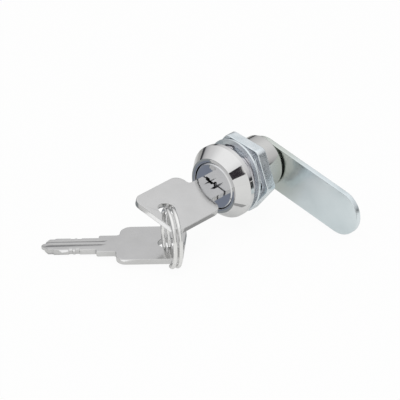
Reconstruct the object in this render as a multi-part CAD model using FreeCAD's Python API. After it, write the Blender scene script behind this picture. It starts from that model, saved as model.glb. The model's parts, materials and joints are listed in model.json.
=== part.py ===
# Quarter turn cam lock for a mailbox, with its fixing nut, loose washer and two keys on a split ring.
#
# Frame: the origin is on the lock's axis, in the plane of the head's back face, which seats on the door.
# +Y runs along the axis to the rear, where the cam is, +X is to the right of someone facing the head,
# and +Z is up. The lock lies as it does on a table, so everything that belongs to the barrel and the
# plug is rolled about Y by lie_roll, and the cam's tip, the ring and the loose key touch the table.
# All sizes are in millimetres.

import FreeCAD, Part
import math
import os

V = FreeCAD.Vector
AXIS_START = V(0, 0, 0)
LOCK_AXIS = V(0, 1, 0)

# Placing on the table
lie_roll = 13.5

# Fits
run_gap = 0.06
seat_gap = 0.05
slide_gap = 0.10
loose_gap = 0.20
join_depth = 0.2
cut_margin = 1.0

# Head of the housing
head_depth = 5.6
head_radius = 11.75
head_front_radius = 8.88
head_cone_depth = 3.9
head_edge = 0.35

# Barrel of the housing
thread_radius = 9.5
thread_length = 9.6
flats_across = 17.8
barrel_radius = 8.45
barrel_length = 16.7
barrel_chamfer = 0.5
groove_radius = 6.95

# Plug
plug_radius = 6.0
flange_radius = 7.38
flange_depth = 2.2
flange_chamfer = 0.35
drive_square = 8.0
screw_hole_depth = 3.9

# Key
key_thickness = 1.85
bow_width = 19.0
bow_length = 20.2
bow_end_radius = 3.2
bow_neck_radius = 3.2
shoulder_width = 9.2
shoulder_length = 6.2
shoulder_fillet = 1.0
shoulder_end_radius = 0.6
blade_width = 6.5
blade_length = 17.1
tip_width = 1.6
tip_length = 2.3
key_hole_radius = 2.7
key_hole_inset = 5.4
key_groove_width = 1.0
key_groove_depth = 0.5
key_groove_place = 1.35
key_flute_width = 1.6
key_flute_depth = 0.3
key_flute_place = 0.95
key_edge_break = 0.25

# Wafers and their springs
wafer_count = 6
wafer_pitch = 2.0
first_wafer = 3.7
wafer_thickness = 1.0
wafer_width = 5.2
wafer_travel = 0.6
wafer_lug = 1.5
wafer_lug_height = 1.0
cut_depths = (0, 0.35, 0.3, 0, 0, 0.4)
cut_width = 0.9
spring_radius = 0.62
spring_wire = 0.22
spring_length = 3.0

# Retainer that keeps the plug in the housing, its place counted from the key's tip
retainer_place = 0.9
keyway_room = 0.3
retainer_reach = 6.75
retainer_tail = 1.8
retainer_spring_length = 2.7
retainer_spring_radius = 0.8

# Stop washer and the lug it turns against
stop_thickness = 0.65
stop_radius = 8.0
stop_hub_radius = 6.5
stop_tab_span = 30.0
lug_angle = 230.0
lug_span = 30.0
turn_range = 90.0
stop_slack = 1.5

# Cam
cam_width = 14.6
cam_thickness = 1.8
cam_reach = 38.5
cam_edge = 0.3

# Cam fixings
cam_washer_radius = 6.2
cam_washer_thickness = 0.9
screw_radius = 2.45
screw_head_radius = 4.2
screw_head_rim = 0.8
screw_head_height = 2.2
screw_cross_reach = 2.3
screw_cross_width = 1.0
screw_cross_depth = 1.3
screw_length = 6.0
spring_washer_radius = 4.4
spring_washer_thickness = 1.1
spring_washer_split = 0.8
spring_washer_slant = 20.0

# Fixing nut and the loose washer in front of it
nut_across = 22.0
nut_thickness = 3.6
nut_place = 5.4
nut_corner_angle = -8.3
nut_corner_radius = 1.2
nut_edge_break = 0.2
nut_bore_chamfer = 0.5
washer_radius = 11.6
washer_bore_radius = 9.9
washer_thickness = 0.8
washer_place = 3.7
washer_tilt = 6.3
washer_low_angle = -31.0

# Split ring
ring_wire = 1.25
ring_radius = 8.65
ring_pitch = 1.68
ring_ramp = 36.0
ring_start = 285.0
ring_heading = 55.9
ring_inset = -0.1

# Loose key: where on the ring it hangs, the heading from its tip to its bow and its small lean
loose_hang = 223.5
loose_heading = 37.84
loose_lean = -1.8

# Derived places
seat_plane = 0.0
face_plane = seat_plane - head_depth
flange_back = face_plane + flange_depth
counterbore_back = flange_back + slide_gap
bore_radius = plug_radius + run_gap
counterbore_radius = flange_radius + run_gap
barrel_end = barrel_length
stop_front = barrel_end + seat_gap
cam_front = stop_front + stop_thickness
cam_back = cam_front + cam_thickness
key_stop = face_plane - slide_gap
key_hole_to_shoulder = bow_length - key_hole_inset + shoulder_length
inserted_hole = V(0, key_stop - key_hole_to_shoulder, 0)
blade_tip = key_stop + blade_length
retainer_middle = blade_tip + retainer_place
key_reach = key_hole_to_shoulder + blade_length
cam_tip_centre = cam_reach - cam_width / 2
table_level = -cam_tip_centre * math.sin(math.radians(lie_roll)) - cam_width / 2
ring_height = table_level + ring_radius + ring_wire / 2
ring_aside = math.sqrt((ring_radius - ring_inset) ** 2 - ring_height ** 2)
ring_near = V(math.sin(math.radians(ring_heading)), -math.cos(math.radians(ring_heading)), 0)
ring_across = V(math.cos(math.radians(ring_heading)), math.sin(math.radians(ring_heading)), 0)
ring_centre = V(0, inserted_hole.y, ring_height) + ring_near * ring_aside
window_width = blade_width + 2 * (slide_gap + wafer_travel)
window_height = key_thickness + 2 * loose_gap


def polygon_face(points):
    return Part.Face(Part.makePolygon(list(points) + [points[0]]))


def revolve(profile):
    """Turn (y, radius) points about the lock's axis."""
    face = polygon_face([V(radius, y, 0) for y, radius in profile])
    return face.revolve(AXIS_START, LOCK_AXIS, 360)


def disc(radius, start, length, inner=0.0):
    """A round plate or tube on the lock's axis, from y = start."""
    solid = Part.makeCylinder(radius, length, V(0, start, 0), LOCK_AXIS)
    if inner > 0:
        through = length + 2 * cut_margin
        solid = solid.cut(Part.makeCylinder(inner, through, V(0, start - cut_margin, 0), LOCK_AXIS))
    return solid


def block(x_range, y_range, z_range):
    corner = V(x_range[0], y_range[0], z_range[0])
    return Part.makeBox(x_range[1] - x_range[0], y_range[1] - y_range[0], z_range[1] - z_range[0], corner)


def sector(start_angle, end_angle, inner, outer, start, length):
    """Part of a ring about the lock's axis. Angles run from +X towards +Z."""
    inside = disc(outer, start, length, inner)
    wedge = Part.makeCylinder(outer * 2, length, AXIS_START, V(0, 0, 1), end_angle - start_angle)
    wedge.rotate(AXIS_START, V(1, 0, 0), -90)
    wedge.rotate(AXIS_START, LOCK_AXIS, -end_angle)
    wedge.translate(V(0, start, 0))
    return inside.common(wedge)


def roll(shape):
    """Turn a piece of the lock to the roll at which it lies."""
    turned = shape.copy()
    turned.rotate(AXIS_START, LOCK_AXIS, lie_roll)
    return turned


def single(shape):
    """The one solid of a shape, with split faces joined."""
    clean = shape.removeSplitter()
    return clean.Solids[0] if len(clean.Solids) == 1 else clean


def wafer_places():
    return [face_plane + first_wafer + index * wafer_pitch for index in range(wafer_count)]


def wafer_side(index):
    return 1 if index % 2 == 0 else -1


def keyway_section(width, thickness, grow):
    """The key's warded section, point symmetric so that the key goes in either way up."""
    half = width / 2 + grow
    top = thickness / 2 + grow
    ward = key_groove_width / 2 - grow
    floor = top - key_groove_depth
    place = key_groove_place
    upper = [(-half, top), (place - ward, top), (place - ward / 2, floor), (place + ward / 2, floor),
             (place + ward, top), (half, top)]
    lower = [(-x, -z) for x, z in upper]
    return upper + lower


def section_prism(section, start, end):
    face = polygon_face([V(x, start, z) for x, z in section])
    return face.extrude(V(0, end - start, 0))


def make_housing():
    """Chromed head and threaded barrel, cast in one piece, bored for the plug."""
    edge = head_edge
    outer_rim = face_plane + head_cone_depth
    profile = [
        (face_plane, counterbore_radius + edge / 2),
        (face_plane, head_front_radius - edge / 2),
        (face_plane + edge / 2, head_front_radius),
        (outer_rim, head_radius),
        (seat_plane - edge, head_radius),
        (seat_plane, head_radius - edge),
        (seat_plane, thread_radius),
        (thread_length - barrel_chamfer, thread_radius),
        (thread_length + barrel_chamfer, barrel_radius),
        (barrel_end - barrel_chamfer, barrel_radius),
        (barrel_end, barrel_radius - barrel_chamfer),
        (barrel_end, bore_radius),
        (counterbore_back, bore_radius),
        (counterbore_back, counterbore_radius),
        (face_plane + edge / 2, counterbore_radius),
    ]
    body = revolve(profile)
    for side in (-1, 1):
        near = flats_across / 2
        far = thread_radius + cut_margin
        z_range = (near, far) if side > 0 else (-far, -near)
        body = body.cut(block((-far, far), (seat_plane, thread_length + barrel_chamfer), z_range))
    places = wafer_places()
    groove_start = places[0] - wafer_thickness
    groove_end = places[-1] + wafer_thickness
    half = wafer_width / 2 + slide_gap + seat_gap
    lands = disc(groove_radius, groove_start, groove_end - groove_start)
    reach = groove_radius + cut_margin
    across = block((-reach, reach), (groove_start, groove_end), (-half, half))
    upright = block((-half, half), (groove_start, groove_end), (-reach, reach))
    body = body.cut(lands.common(across.fuse(upright)))
    keeper_groove = retainer_middle - wafer_thickness / 2 - slide_gap
    body = body.cut(disc(groove_radius, keeper_groove, wafer_thickness + 2 * slide_gap))
    lug = sector(lug_angle - lug_span / 2, lug_angle + lug_span / 2, stop_hub_radius + loose_gap,
                 barrel_radius - barrel_chamfer, barrel_end - join_depth, stop_thickness)
    return single(body.fuse(lug))


def spring_pocket(index, place):
    """Space beside a wafer for its spring and the wafer's lug, on the side it is pushed from."""
    side = wafer_side(index)
    low = wafer_width / 2
    high = low + wafer_lug + slide_gap
    back = -spring_length
    front = wafer_lug_height + wafer_travel + slide_gap
    half = spring_radius + slide_gap
    x_range = (back, front) if side > 0 else (-front, -back)
    z_range = (low, high) if side > 0 else (-high, -low)
    return block(x_range, (place - half, place + half), z_range)


def make_plug():
    """Turned plug with its face flange, keyway, wafer slots and square drive end."""
    profile = [
        (face_plane, 0),
        (face_plane, flange_radius - flange_chamfer),
        (face_plane + flange_chamfer, flange_radius),
        (flange_back, flange_radius),
        (flange_back, plug_radius),
        (barrel_end + seat_gap / 2, plug_radius),
        (barrel_end + seat_gap / 2, 0),
    ]
    body = revolve(profile)
    half_drive = drive_square / 2
    drive_end = cam_back - loose_gap
    drive_range = (barrel_end - join_depth, drive_end)
    body = body.fuse(block((-half_drive, half_drive), drive_range, (-half_drive, half_drive)))
    section = keyway_section(blade_width, key_thickness, loose_gap)
    keyway = section_prism(section, face_plane - cut_margin, blade_tip + keyway_room)
    body = body.cut(keyway)
    reach = plug_radius + cut_margin
    half_slot = wafer_thickness / 2 + seat_gap
    half_width = wafer_width / 2 + slide_gap / 2
    for index, place in enumerate(wafer_places()):
        slot_range = (place - half_slot, place + half_slot)
        body = body.cut(block((-reach, reach), slot_range, (-half_width, half_width)))
        body = body.cut(spring_pocket(index, place))
    tail = -retainer_tail - retainer_spring_length
    slot_range = (retainer_middle - half_slot, retainer_middle + half_slot)
    body = body.cut(block((tail, reach), slot_range, (-half_width, half_width)))
    pocket = Part.makeCylinder(retainer_spring_radius + slide_gap, retainer_spring_length,
                               V(tail, retainer_middle, 0), V(1, 0, 0))
    body = body.cut(pocket)
    hole = disc(screw_radius + seat_gap, drive_end - screw_hole_depth, screw_hole_depth + cut_margin)
    return single(body.cut(hole))


def make_wafer(index, place):
    """One locking wafer with its key window and the lug that its spring pushes."""
    side = wafer_side(index)
    half = wafer_thickness / 2
    y_range = (place - half, place + half)
    plate = block((-plug_radius, plug_radius), y_range, (-wafer_width / 2, wafer_width / 2))
    plate = plate.common(disc(plug_radius - slide_gap / 4, place - half, wafer_thickness))
    window = block((-window_width / 2, window_width / 2), (place - cut_margin, place + cut_margin),
                   (-window_height / 2, window_height / 2))
    x_range = (0, wafer_lug_height) if side > 0 else (-wafer_lug_height, 0)
    low = wafer_width / 2 - join_depth
    high = wafer_width / 2 + wafer_lug
    z_range = (low, high) if side > 0 else (-high, -low)
    return single(plate.cut(window).fuse(block(x_range, y_range, z_range)))


def make_spring(start, direction, length, radius):
    """A closed coil spring hidden in its pocket, as a sleeve of the coil's outer size."""
    outer = Part.makeCylinder(radius, length, start, direction)
    inner = Part.makeCylinder(radius - spring_wire, length, start, direction)
    return outer.cut(inner)


def make_wafer_spring(index, place):
    side = wafer_side(index)
    middle = side * (wafer_width / 2 + wafer_lug / 2)
    return make_spring(V(-side * spring_length, place, middle), V(side, 0, 0), spring_length, spring_radius)


def make_retainer():
    """Plate that stands out of the plug into the housing's ring groove."""
    start = retainer_middle - wafer_thickness / 2
    plate = block((-retainer_tail, groove_radius), (start, start + wafer_thickness),
                  (-wafer_width / 2, wafer_width / 2))
    return single(plate.common(disc(retainer_reach, start, wafer_thickness)))


def make_retainer_spring():
    start = V(-retainer_tail - retainer_spring_length, retainer_middle, 0)
    return make_spring(start, V(1, 0, 0), retainer_spring_length, retainer_spring_radius)


def square_hole(start, length):
    half = drive_square / 2 + seat_gap
    return block((-half, half), (start - cut_margin, start + length + cut_margin), (-half, half))


def make_stop_washer():
    """Washer on the plug's square, whose two tabs meet the housing's lug a quarter turn apart."""
    plate = disc(stop_hub_radius, stop_front, stop_thickness)
    end = lug_angle + lug_span / 2 + stop_slack
    start = lug_angle - lug_span / 2 - stop_slack - turn_range
    for first, last in ((start - stop_tab_span, start), (end, end + stop_tab_span)):
        tab = sector(first, last, stop_hub_radius - join_depth, stop_radius, stop_front, stop_thickness)
        plate = plate.fuse(tab)
    return single(plate.cut(square_hole(stop_front, stop_thickness)))


def make_cam():
    """Flat locking arm with round ends, on the plug's square."""
    radius = cam_width / 2
    straight = cam_reach - radius
    plate = disc(radius, cam_front, cam_thickness)
    plate = plate.fuse(block((0, straight), (cam_front, cam_back), (-radius, radius)))
    tip = Part.makeCylinder(radius, cam_thickness, V(straight, cam_front, 0), LOCK_AXIS)
    plate = single(plate.fuse(tip))
    rim = [edge for edge in plate.Edges if edge.BoundBox.YLength < cam_thickness / 2]
    plate = plate.makeFillet(cam_edge, rim)
    return single(plate.cut(square_hole(cam_front, cam_thickness)))


def make_cam_washer():
    return disc(cam_washer_radius, cam_back, cam_washer_thickness, screw_radius + loose_gap)


def make_spring_washer():
    start = cam_back + cam_washer_thickness
    ring = disc(spring_washer_radius, start, spring_washer_thickness, screw_radius + loose_gap)
    half = spring_washer_split / 2
    gap_range = (start - cut_margin, start + spring_washer_thickness + cut_margin)
    gap = block((-half, half), gap_range, (0, spring_washer_radius + cut_margin))
    gap.rotate(V(0, start, spring_washer_radius), V(0, 0, 1), spring_washer_slant)
    return single(ring.cut(gap))


def hexagon(across, start, length, first_corner=0.0):
    """Hexagonal prism on the lock's axis. Corners are counted from +X towards +Z."""
    corner = across / math.sqrt(3)
    points = []
    for step in range(6):
        angle = math.radians(first_corner + 60 * step)
        points.append(V(corner * math.cos(angle), start, corner * math.sin(angle)))
    return polygon_face(points).extrude(V(0, length, 0))


def make_cam_screw():
    """Domed cross head screw that holds the cam on the plug."""
    start = cam_back + cam_washer_thickness + spring_washer_thickness
    end = start + screw_head_height
    rise = screw_head_height - screw_head_rim
    dome = (screw_head_radius ** 2 + rise ** 2) / (2 * rise)
    head = disc(screw_head_radius, start, screw_head_height)
    head = head.common(Part.makeSphere(dome, V(0, end - dome, 0)))
    shank = disc(screw_radius, start - screw_length, screw_length + join_depth)
    screw = head.fuse(shank)
    half = screw_cross_width / 2
    reach = screw_cross_reach
    recess = (end - screw_cross_depth, end + cut_margin)
    screw = screw.cut(block((-reach, reach), recess, (-half, half)))
    return single(screw.cut(block((-half, half), recess, (-reach, reach))))


def make_nut():
    """Thin hex nut that clamps the lock to the door, punched from plate, with rounded corners."""
    body = hexagon(nut_across, nut_place, nut_thickness, nut_corner_angle)
    corners = [edge for edge in body.Edges if edge.BoundBox.YLength > nut_thickness / 2]
    body = body.makeFillet(nut_corner_radius, corners)
    rims = [edge for edge in body.Edges if edge.BoundBox.YLength < nut_thickness / 2]
    body = body.makeChamfer(nut_edge_break, rims)
    bore = thread_radius + seat_gap
    wide = bore + nut_bore_chamfer
    end = nut_place + nut_thickness
    hole = revolve([
        (nut_place - cut_margin, 0), (nut_place - cut_margin, wide + cut_margin), (nut_place, wide),
        (nut_place + nut_bore_chamfer, bore), (end - nut_bore_chamfer, bore),
        (end, wide), (end + cut_margin, wide + cut_margin), (end + cut_margin, 0),
    ])
    return single(body.cut(hole))


def make_washer():
    """Loose washer that leans between the head and the nut."""
    ring = disc(washer_radius, washer_place - washer_thickness / 2, washer_thickness, washer_bore_radius)
    low = math.radians(washer_low_angle)
    towards_low = V(math.cos(low), 0, math.sin(low))
    hinge = towards_low.cross(LOCK_AXIS)
    ring.rotate(V(0, washer_place, 0), hinge, -washer_tilt)
    return ring


def blade_outline(start):
    """Half outline points of the blade from the shoulder to the tip. The last cut runs on into the tip."""
    half = blade_width / 2
    tip = start + blade_length
    points = [(half, start)]
    for index, depth in enumerate(cut_depths):
        place = start + face_plane - key_stop + first_wafer + index * wafer_pitch
        if depth > 0:
            points += [(half, place - cut_width / 2 - depth), (half - depth, place - cut_width / 2)]
        if depth > 0 and index < wafer_count - 1:
            points += [(half - depth, place + cut_width / 2), (half, place + cut_width / 2 + depth)]
    return points + [(half - cut_depths[-1], tip - tip_length), (tip_width / 2, tip)]


def rounded(points):
    """Outline in the key's plane from (x, y, radius) corners, with arcs of those radii."""
    count = len(points)
    starts, ends, mids = [], [], []
    for index, (x, y, radius) in enumerate(points):
        here = V(x, y, 0)
        before = V(*points[index - 1][:2], 0) - here
        after = V(*points[(index + 1) % count][:2], 0) - here
        before.normalize()
        after.normalize()
        if radius <= 0:
            starts.append(here)
            ends.append(here)
            mids.append(None)
            continue
        half_turn = before.getAngle(after) / 2
        run = radius / math.tan(half_turn)
        middle = before + after
        middle.normalize()
        starts.append(here + before * run)
        ends.append(here + after * run)
        mids.append(here + middle * (radius / math.sin(half_turn) - radius))
    edges = []
    for index in range(count):
        if mids[index] is not None:
            edges.append(Part.Arc(starts[index], mids[index], ends[index]).toShape())
        following = starts[(index + 1) % count]
        if (following - ends[index]).Length > 1e-6:
            edges.append(Part.LineSegment(ends[index], following).toShape())
    return Part.Wire(edges)


def mirrored(corners):
    """A closed outline from its right half, from the bottom up."""
    return corners + [(-x, y, radius) for x, y, radius in reversed(corners)]


def make_key():
    """A flat key with both edges cut. The middle of its hole is the origin and the blade points to +Y."""
    bow_back = -key_hole_inset
    bow_front = bow_length - key_hole_inset
    half_bow = bow_width / 2
    half_shoulder = shoulder_width / 2
    shoulder_end = bow_front + shoulder_length
    low = -key_thickness / 2
    head_outline = rounded(mirrored([
        (half_bow, bow_back, bow_end_radius), (half_bow, bow_front, bow_neck_radius),
        (half_shoulder, bow_front, shoulder_fillet), (half_shoulder, shoulder_end, shoulder_end_radius)]))
    head = Part.Face(head_outline).extrude(V(0, 0, key_thickness))
    rim = [edge for edge in head.Edges if edge.BoundBox.ZLength < key_thickness / 2]
    head = head.makeChamfer(key_edge_break, rim)
    blade_start = shoulder_end - shoulder_length / 2
    half_blade = blade_width / 2
    blade_points = [(half_blade, blade_start, 0)] + [(x, y, 0) for x, y in blade_outline(shoulder_end)]
    blade = Part.Face(rounded(mirrored(blade_points))).extrude(V(0, 0, key_thickness))
    plate = head.fuse(blade)
    plate.translate(V(0, 0, low))
    hole = Part.makeCylinder(key_hole_radius, key_thickness + 2 * cut_margin, V(0, 0, low - cut_margin))
    plate = plate.cut(hole)
    for side in (-1, 1):
        plate = plate.cut(key_groove(side, key_groove_place, key_groove_width, key_groove_depth))
        plate = plate.cut(key_groove(side, -key_flute_place, key_flute_width, key_flute_depth))
    return single(plate)


def key_groove(side, place, width, depth):
    """Long groove with sloping walls in one face of the blade, from inside the shoulder to the tip."""
    top = key_thickness / 2
    half = width / 2
    start = key_hole_to_shoulder - shoulder_length / 3
    length = shoulder_length / 3 + blade_length + cut_margin
    floor = top - depth
    floor_half = half - depth / 2
    section = [V(place - half, start, top), V(place - floor_half, start, floor),
               V(place + floor_half, start, floor), V(place + half, start, top)]
    groove = polygon_face(section).extrude(V(0, length, 0))
    if side < 0:
        groove.rotate(V(0, 0, 0), V(0, 1, 0), 180)
    return groove


def place_inserted_key(key):
    """The key pushed home, its shoulder at the plug's face."""
    placed = key.copy()
    placed.translate(inserted_hole)
    return roll(placed)


def place_loose_key(key):
    """The second key on the table, its tip dipped and its bow carried by the ring."""
    hole = ring_point(loose_hang, 0)
    tip_drop = (key_thickness + tip_width * math.sin(math.radians(abs(loose_lean)))) / 2
    dip = math.degrees(math.asin((hole.z - tip_drop - table_level) / key_reach))
    placed = key.copy()
    placed.rotate(V(0, 0, 0), V(0, 1, 0), loose_lean)
    placed.rotate(V(0, 0, 0), V(1, 0, 0), -dip)
    placed.rotate(V(0, 0, 0), V(0, 0, 1), loose_heading + 90)
    placed.translate(hole)
    print("table level %.3f" % table_level)
    print("loose key's hole %.2f %.2f %.2f, dip %.2f" % (hole.x, hole.y, hole.z, dip))
    return placed


def ring_point(degrees, offset):
    """A point of the ring's wire. Angles start level on the near side and run upwards."""
    angle = math.radians(degrees)
    radial = ring_near * math.cos(angle) + V(0, 0, math.sin(angle))
    return ring_centre + radial * ring_radius + ring_across * offset


def ring_tangent(degrees):
    angle = math.radians(degrees)
    return ring_near * -math.sin(angle) + V(0, 0, math.cos(angle))


def tangent_arc(start, corner, end):
    """Arc that touches the lines from start to corner and from corner to end."""
    middle = (start + end) * 0.5
    half = (end - start).Length / 2
    rise = (corner - middle).Length
    sagitta = half * math.tan(math.atan2(rise, half) / 2)
    direction = corner - middle
    direction.normalize()
    return Part.Arc(start, middle + direction * sagitta, end).toShape()


def biarc(start, start_tangent, end, end_tangent):
    """Two arcs that join two points with the given directions."""
    span = end - start
    both = start_tangent + end_tangent
    product = 2 * (1 - start_tangent.dot(end_tangent))
    along = span.dot(both)
    if product < 1e-9:
        reach = span.dot(span) / (4 * span.dot(start_tangent))
    else:
        reach = (-along + math.sqrt(along * along + product * span.dot(span))) / product
    first = start + start_tangent * reach
    second = end - end_tangent * reach
    joint = (first + second) * 0.5
    return [tangent_arc(start, first, joint), tangent_arc(joint, second, end)]


def ring_layer(first, last, offset):
    """Plain arcs of one turn of the ring, each under half a circle."""
    pieces = 4
    step = (last - first) / pieces
    edges = []
    for index in range(pieces):
        start = first + index * step
        edges.append(Part.Arc(ring_point(start, offset), ring_point(start + step / 2, offset),
                              ring_point(start + step, offset)).toShape())
    return edges


def make_ring():
    """Split ring: two flat turns of one wire, joined by a ramp, with the ends either side of it."""
    half = ring_pitch / 2
    turn_end = ring_start + 360 - ring_ramp
    edges = ring_layer(ring_start, turn_end, -half)
    ramp_end = turn_end + ring_ramp
    edges += biarc(ring_point(turn_end, -half), ring_tangent(turn_end),
                   ring_point(ramp_end, half), ring_tangent(ramp_end))
    edges += ring_layer(ramp_end, ramp_end + 360 - ring_ramp, half)
    path = Part.Wire(edges)
    wire_start = Part.Circle(ring_point(ring_start, -half), ring_tangent(ring_start), ring_wire / 2)
    section = Part.Wire(wire_start.toShape())
    sweep = Part.BRepOffsetAPI.MakePipeShell(path)
    sweep.add(section)
    sweep.build()
    sweep.makeSolid()
    solid = sweep.shape()
    expected = math.pi * (ring_wire / 2) ** 2 * path.Length
    print("split ring volume %.2f, section times length %.2f" % (solid.Volume, expected))
    print("split ring least gap to itself %.2f" % ring_least_gap(path))
    return solid


def ring_least_gap(path):
    """Least clear distance between stretches of the ring's wire over half a turn apart."""
    count = 240
    spots = path.discretize(Number=count)
    apart = count // 5
    pairs = ((spots[low], spots[high]) for low in range(count) for high in range(low + apart, count))
    return min((low - high).Length for low, high in pairs) - ring_wire


def build():
    pieces = {
        "lock_housing": roll(make_housing()),
        "lock_plug": roll(make_plug()),
        "retainer_plate": roll(make_retainer()),
        "retainer_spring": roll(make_retainer_spring()),
        "stop_washer": roll(make_stop_washer()),
        "cam_arm": roll(make_cam()),
        "cam_washer": roll(make_cam_washer()),
        "spring_washer": roll(make_spring_washer()),
        "cam_screw": roll(make_cam_screw()),
        "fixing_nut": make_nut(),
        "fixing_washer": make_washer(),
        "split_ring": make_ring(),
    }
    for index, place in enumerate(wafer_places()):
        pieces["wafer_%d" % (index + 1)] = roll(make_wafer(index, place))
        pieces["wafer_spring_%d" % (index + 1)] = roll(make_wafer_spring(index, place))
    key = make_key()
    pieces["inserted_key"] = place_inserted_key(key)
    pieces["loose_key"] = place_loose_key(key)
    return pieces


def main():
    os.makedirs("parts", exist_ok=True)
    for name, shape in build().items():
        shape.exportStep("parts/%s.step" % name)
        box = shape.BoundBox
        print("%-16s solids %d valid %s volume %8.1f  x %6.2f %6.2f  y %6.2f %6.2f  z %6.2f %6.2f" % (
            name, len(shape.Solids), shape.isValid(), shape.Volume,
            box.XMin, box.XMax, box.YMin, box.YMax, box.ZMin, box.ZMax))


main()
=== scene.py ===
# %% [markdown]
# # A mailbox lock with two keys
# A quarter turn cam lock: a chromed head on a threaded barrel, a plug that turns in it, a flat cam behind,
# a nut and a loose washer, and two flat keys on a split ring. The CAD model gives every place and size.
# Blender dresses it here with finer meshes and real looking metal. All meshes are written in millimetres. Y
# runs along the lock's axis from the key towards the cam, and is zero at the back of the head.

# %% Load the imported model
import json
import math

import bmesh
import bpy
from mathutils import Matrix, Vector

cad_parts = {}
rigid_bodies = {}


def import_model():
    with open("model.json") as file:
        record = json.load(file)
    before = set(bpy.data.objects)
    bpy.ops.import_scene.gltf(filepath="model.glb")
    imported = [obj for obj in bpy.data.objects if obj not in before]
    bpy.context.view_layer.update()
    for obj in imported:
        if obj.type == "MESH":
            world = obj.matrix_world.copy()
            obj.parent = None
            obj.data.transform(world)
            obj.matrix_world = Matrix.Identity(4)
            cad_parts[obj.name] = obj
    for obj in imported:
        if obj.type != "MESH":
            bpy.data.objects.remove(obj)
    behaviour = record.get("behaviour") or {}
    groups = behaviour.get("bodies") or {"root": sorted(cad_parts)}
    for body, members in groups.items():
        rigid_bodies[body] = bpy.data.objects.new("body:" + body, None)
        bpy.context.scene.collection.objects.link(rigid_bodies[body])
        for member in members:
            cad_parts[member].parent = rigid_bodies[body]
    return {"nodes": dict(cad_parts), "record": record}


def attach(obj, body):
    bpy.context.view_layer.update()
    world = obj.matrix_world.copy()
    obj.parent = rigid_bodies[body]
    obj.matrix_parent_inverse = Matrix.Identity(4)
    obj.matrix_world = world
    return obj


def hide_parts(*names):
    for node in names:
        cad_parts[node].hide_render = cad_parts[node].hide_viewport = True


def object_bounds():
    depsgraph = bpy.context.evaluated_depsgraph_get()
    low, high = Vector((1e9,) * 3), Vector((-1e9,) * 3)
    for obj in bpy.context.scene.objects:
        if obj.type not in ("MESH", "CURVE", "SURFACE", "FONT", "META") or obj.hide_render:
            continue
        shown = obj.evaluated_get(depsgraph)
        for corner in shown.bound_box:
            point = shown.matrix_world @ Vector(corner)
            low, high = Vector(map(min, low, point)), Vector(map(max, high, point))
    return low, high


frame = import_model()
cad_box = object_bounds()
MM = 0.001
TABLE_LEVEL = cad_box[0].z
print("CAD box", [round(x / MM, 2) for x in (*cad_box[0], *cad_box[1])])

# %% [markdown]
# ## Camera, table and light
# The camera stands where the photograph was taken: above and to the right of the head, with a long lens. It
# comes first, because every later choice is judged through it. It needs no tilt and no lens shift.

# %% Camera at the photograph's angle
AZIMUTH = math.radians(42.1945)
ELEVATION = math.radians(28.85)
CAMERA_PLACE = Vector((504.30, -567.99, 411.30)) * MM
LENS = 254.93
SENSOR_WIDTH = 36
NEAR_LIMIT = 10 * MM
right = Vector((math.cos(AZIMUTH), math.sin(AZIMUTH), 0))
back = Vector((math.sin(AZIMUTH) * math.cos(ELEVATION), -math.cos(AZIMUTH) * math.cos(ELEVATION),
               math.sin(ELEVATION)))
facing = Matrix((right, back.cross(right), back)).transposed().to_4x4()
camera = bpy.data.objects.new("camera", bpy.data.cameras.new("camera"))
camera.matrix_world = Matrix.Translation(CAMERA_PLACE) @ facing
camera.data.sensor_width = SENSOR_WIDTH
camera.data.lens = LENS
camera.data.clip_start = NEAR_LIMIT
bpy.context.scene.collection.objects.link(camera)
bpy.context.scene.camera = camera
bpy.context.scene.view_settings.view_transform = "Standard"
print("camera at", [round(x, 4) for x in camera.location])

# %% [markdown]
# ## Helpers for shader nodes
# Every material here is a small tree of nodes. The helpers keep them short: a node's inputs are fed where
# the node is made, each with a value or with what another node gives out. Some nodes give several sockets
# the same name, and those are reached by their number.

# %% Small helpers for shader nodes
MIX_FIRST = 6
MIX_SECOND = 7
MIX_RESULT = 2


def feed(tree, socket, source):
    """Give an input a value, or link it to an output or to the first output of a node."""
    if isinstance(source, bpy.types.Node):
        source = source.outputs[0]
    if isinstance(source, bpy.types.NodeSocket):
        tree.links.new(source, socket)
    else:
        socket.default_value = source


def add_node(tree, kind, numbered=None, **settings):
    """A shader node with its properties and inputs; numbered gives inputs by socket number."""
    made = tree.nodes.new(kind)
    for key, value in settings.items():
        if hasattr(made, key):
            setattr(made, key, value)
        else:
            feed(tree, made.inputs[key.replace("_", " ")], value)
    for number, value in (numbered or {}).items():
        feed(tree, made.inputs[number], value)
    return made


def add_math(tree, operation, *terms):
    """A node that calculates with numbers or with what nodes give out."""
    return add_node(tree, "ShaderNodeMath", dict(enumerate(terms)), operation=operation)


def add_color_mix(tree, share, first, second, blend="MIX"):
    """The output of a node that mixes two colours."""
    mix = add_node(tree, "ShaderNodeMix", {MIX_FIRST: first, MIX_SECOND: second}, data_type="RGBA",
                   blend_type=blend, Factor=share)
    return mix.outputs[MIX_RESULT]


def object_place(tree):
    """The output that gives the place on the object, in metres."""
    return add_node(tree, "ShaderNodeTexCoord").outputs["Object"]


def emptied_tree(owner):
    """The node tree of a new material or world, without its first nodes."""
    owner.use_nodes = True
    owner.node_tree.nodes.clear()
    return owner.node_tree


# %% [markdown]
# The table is a plain white sheet, and so is everything round it. To the camera it is close to pure white,
# and it keeps a part of the shadow, as in the photograph, where hardly any shows. Mirrors see it darker,
# most of all on the left, because a mirror that sees only white has no shape. Product photographers get
# this by shading one side of a light tent.

# %% Paper of the table
WHITE = (1, 1, 1, 1)
PAPER = (0.80, 0.80, 0.78, 1)
CAMERA_WHITE = 0.95
MIRROR_SHARE = 0.45
MIRROR_WHITE = 0.85
SHADED_SIDE = -120 * MM
LIT_SIDE = -15 * MM


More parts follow.
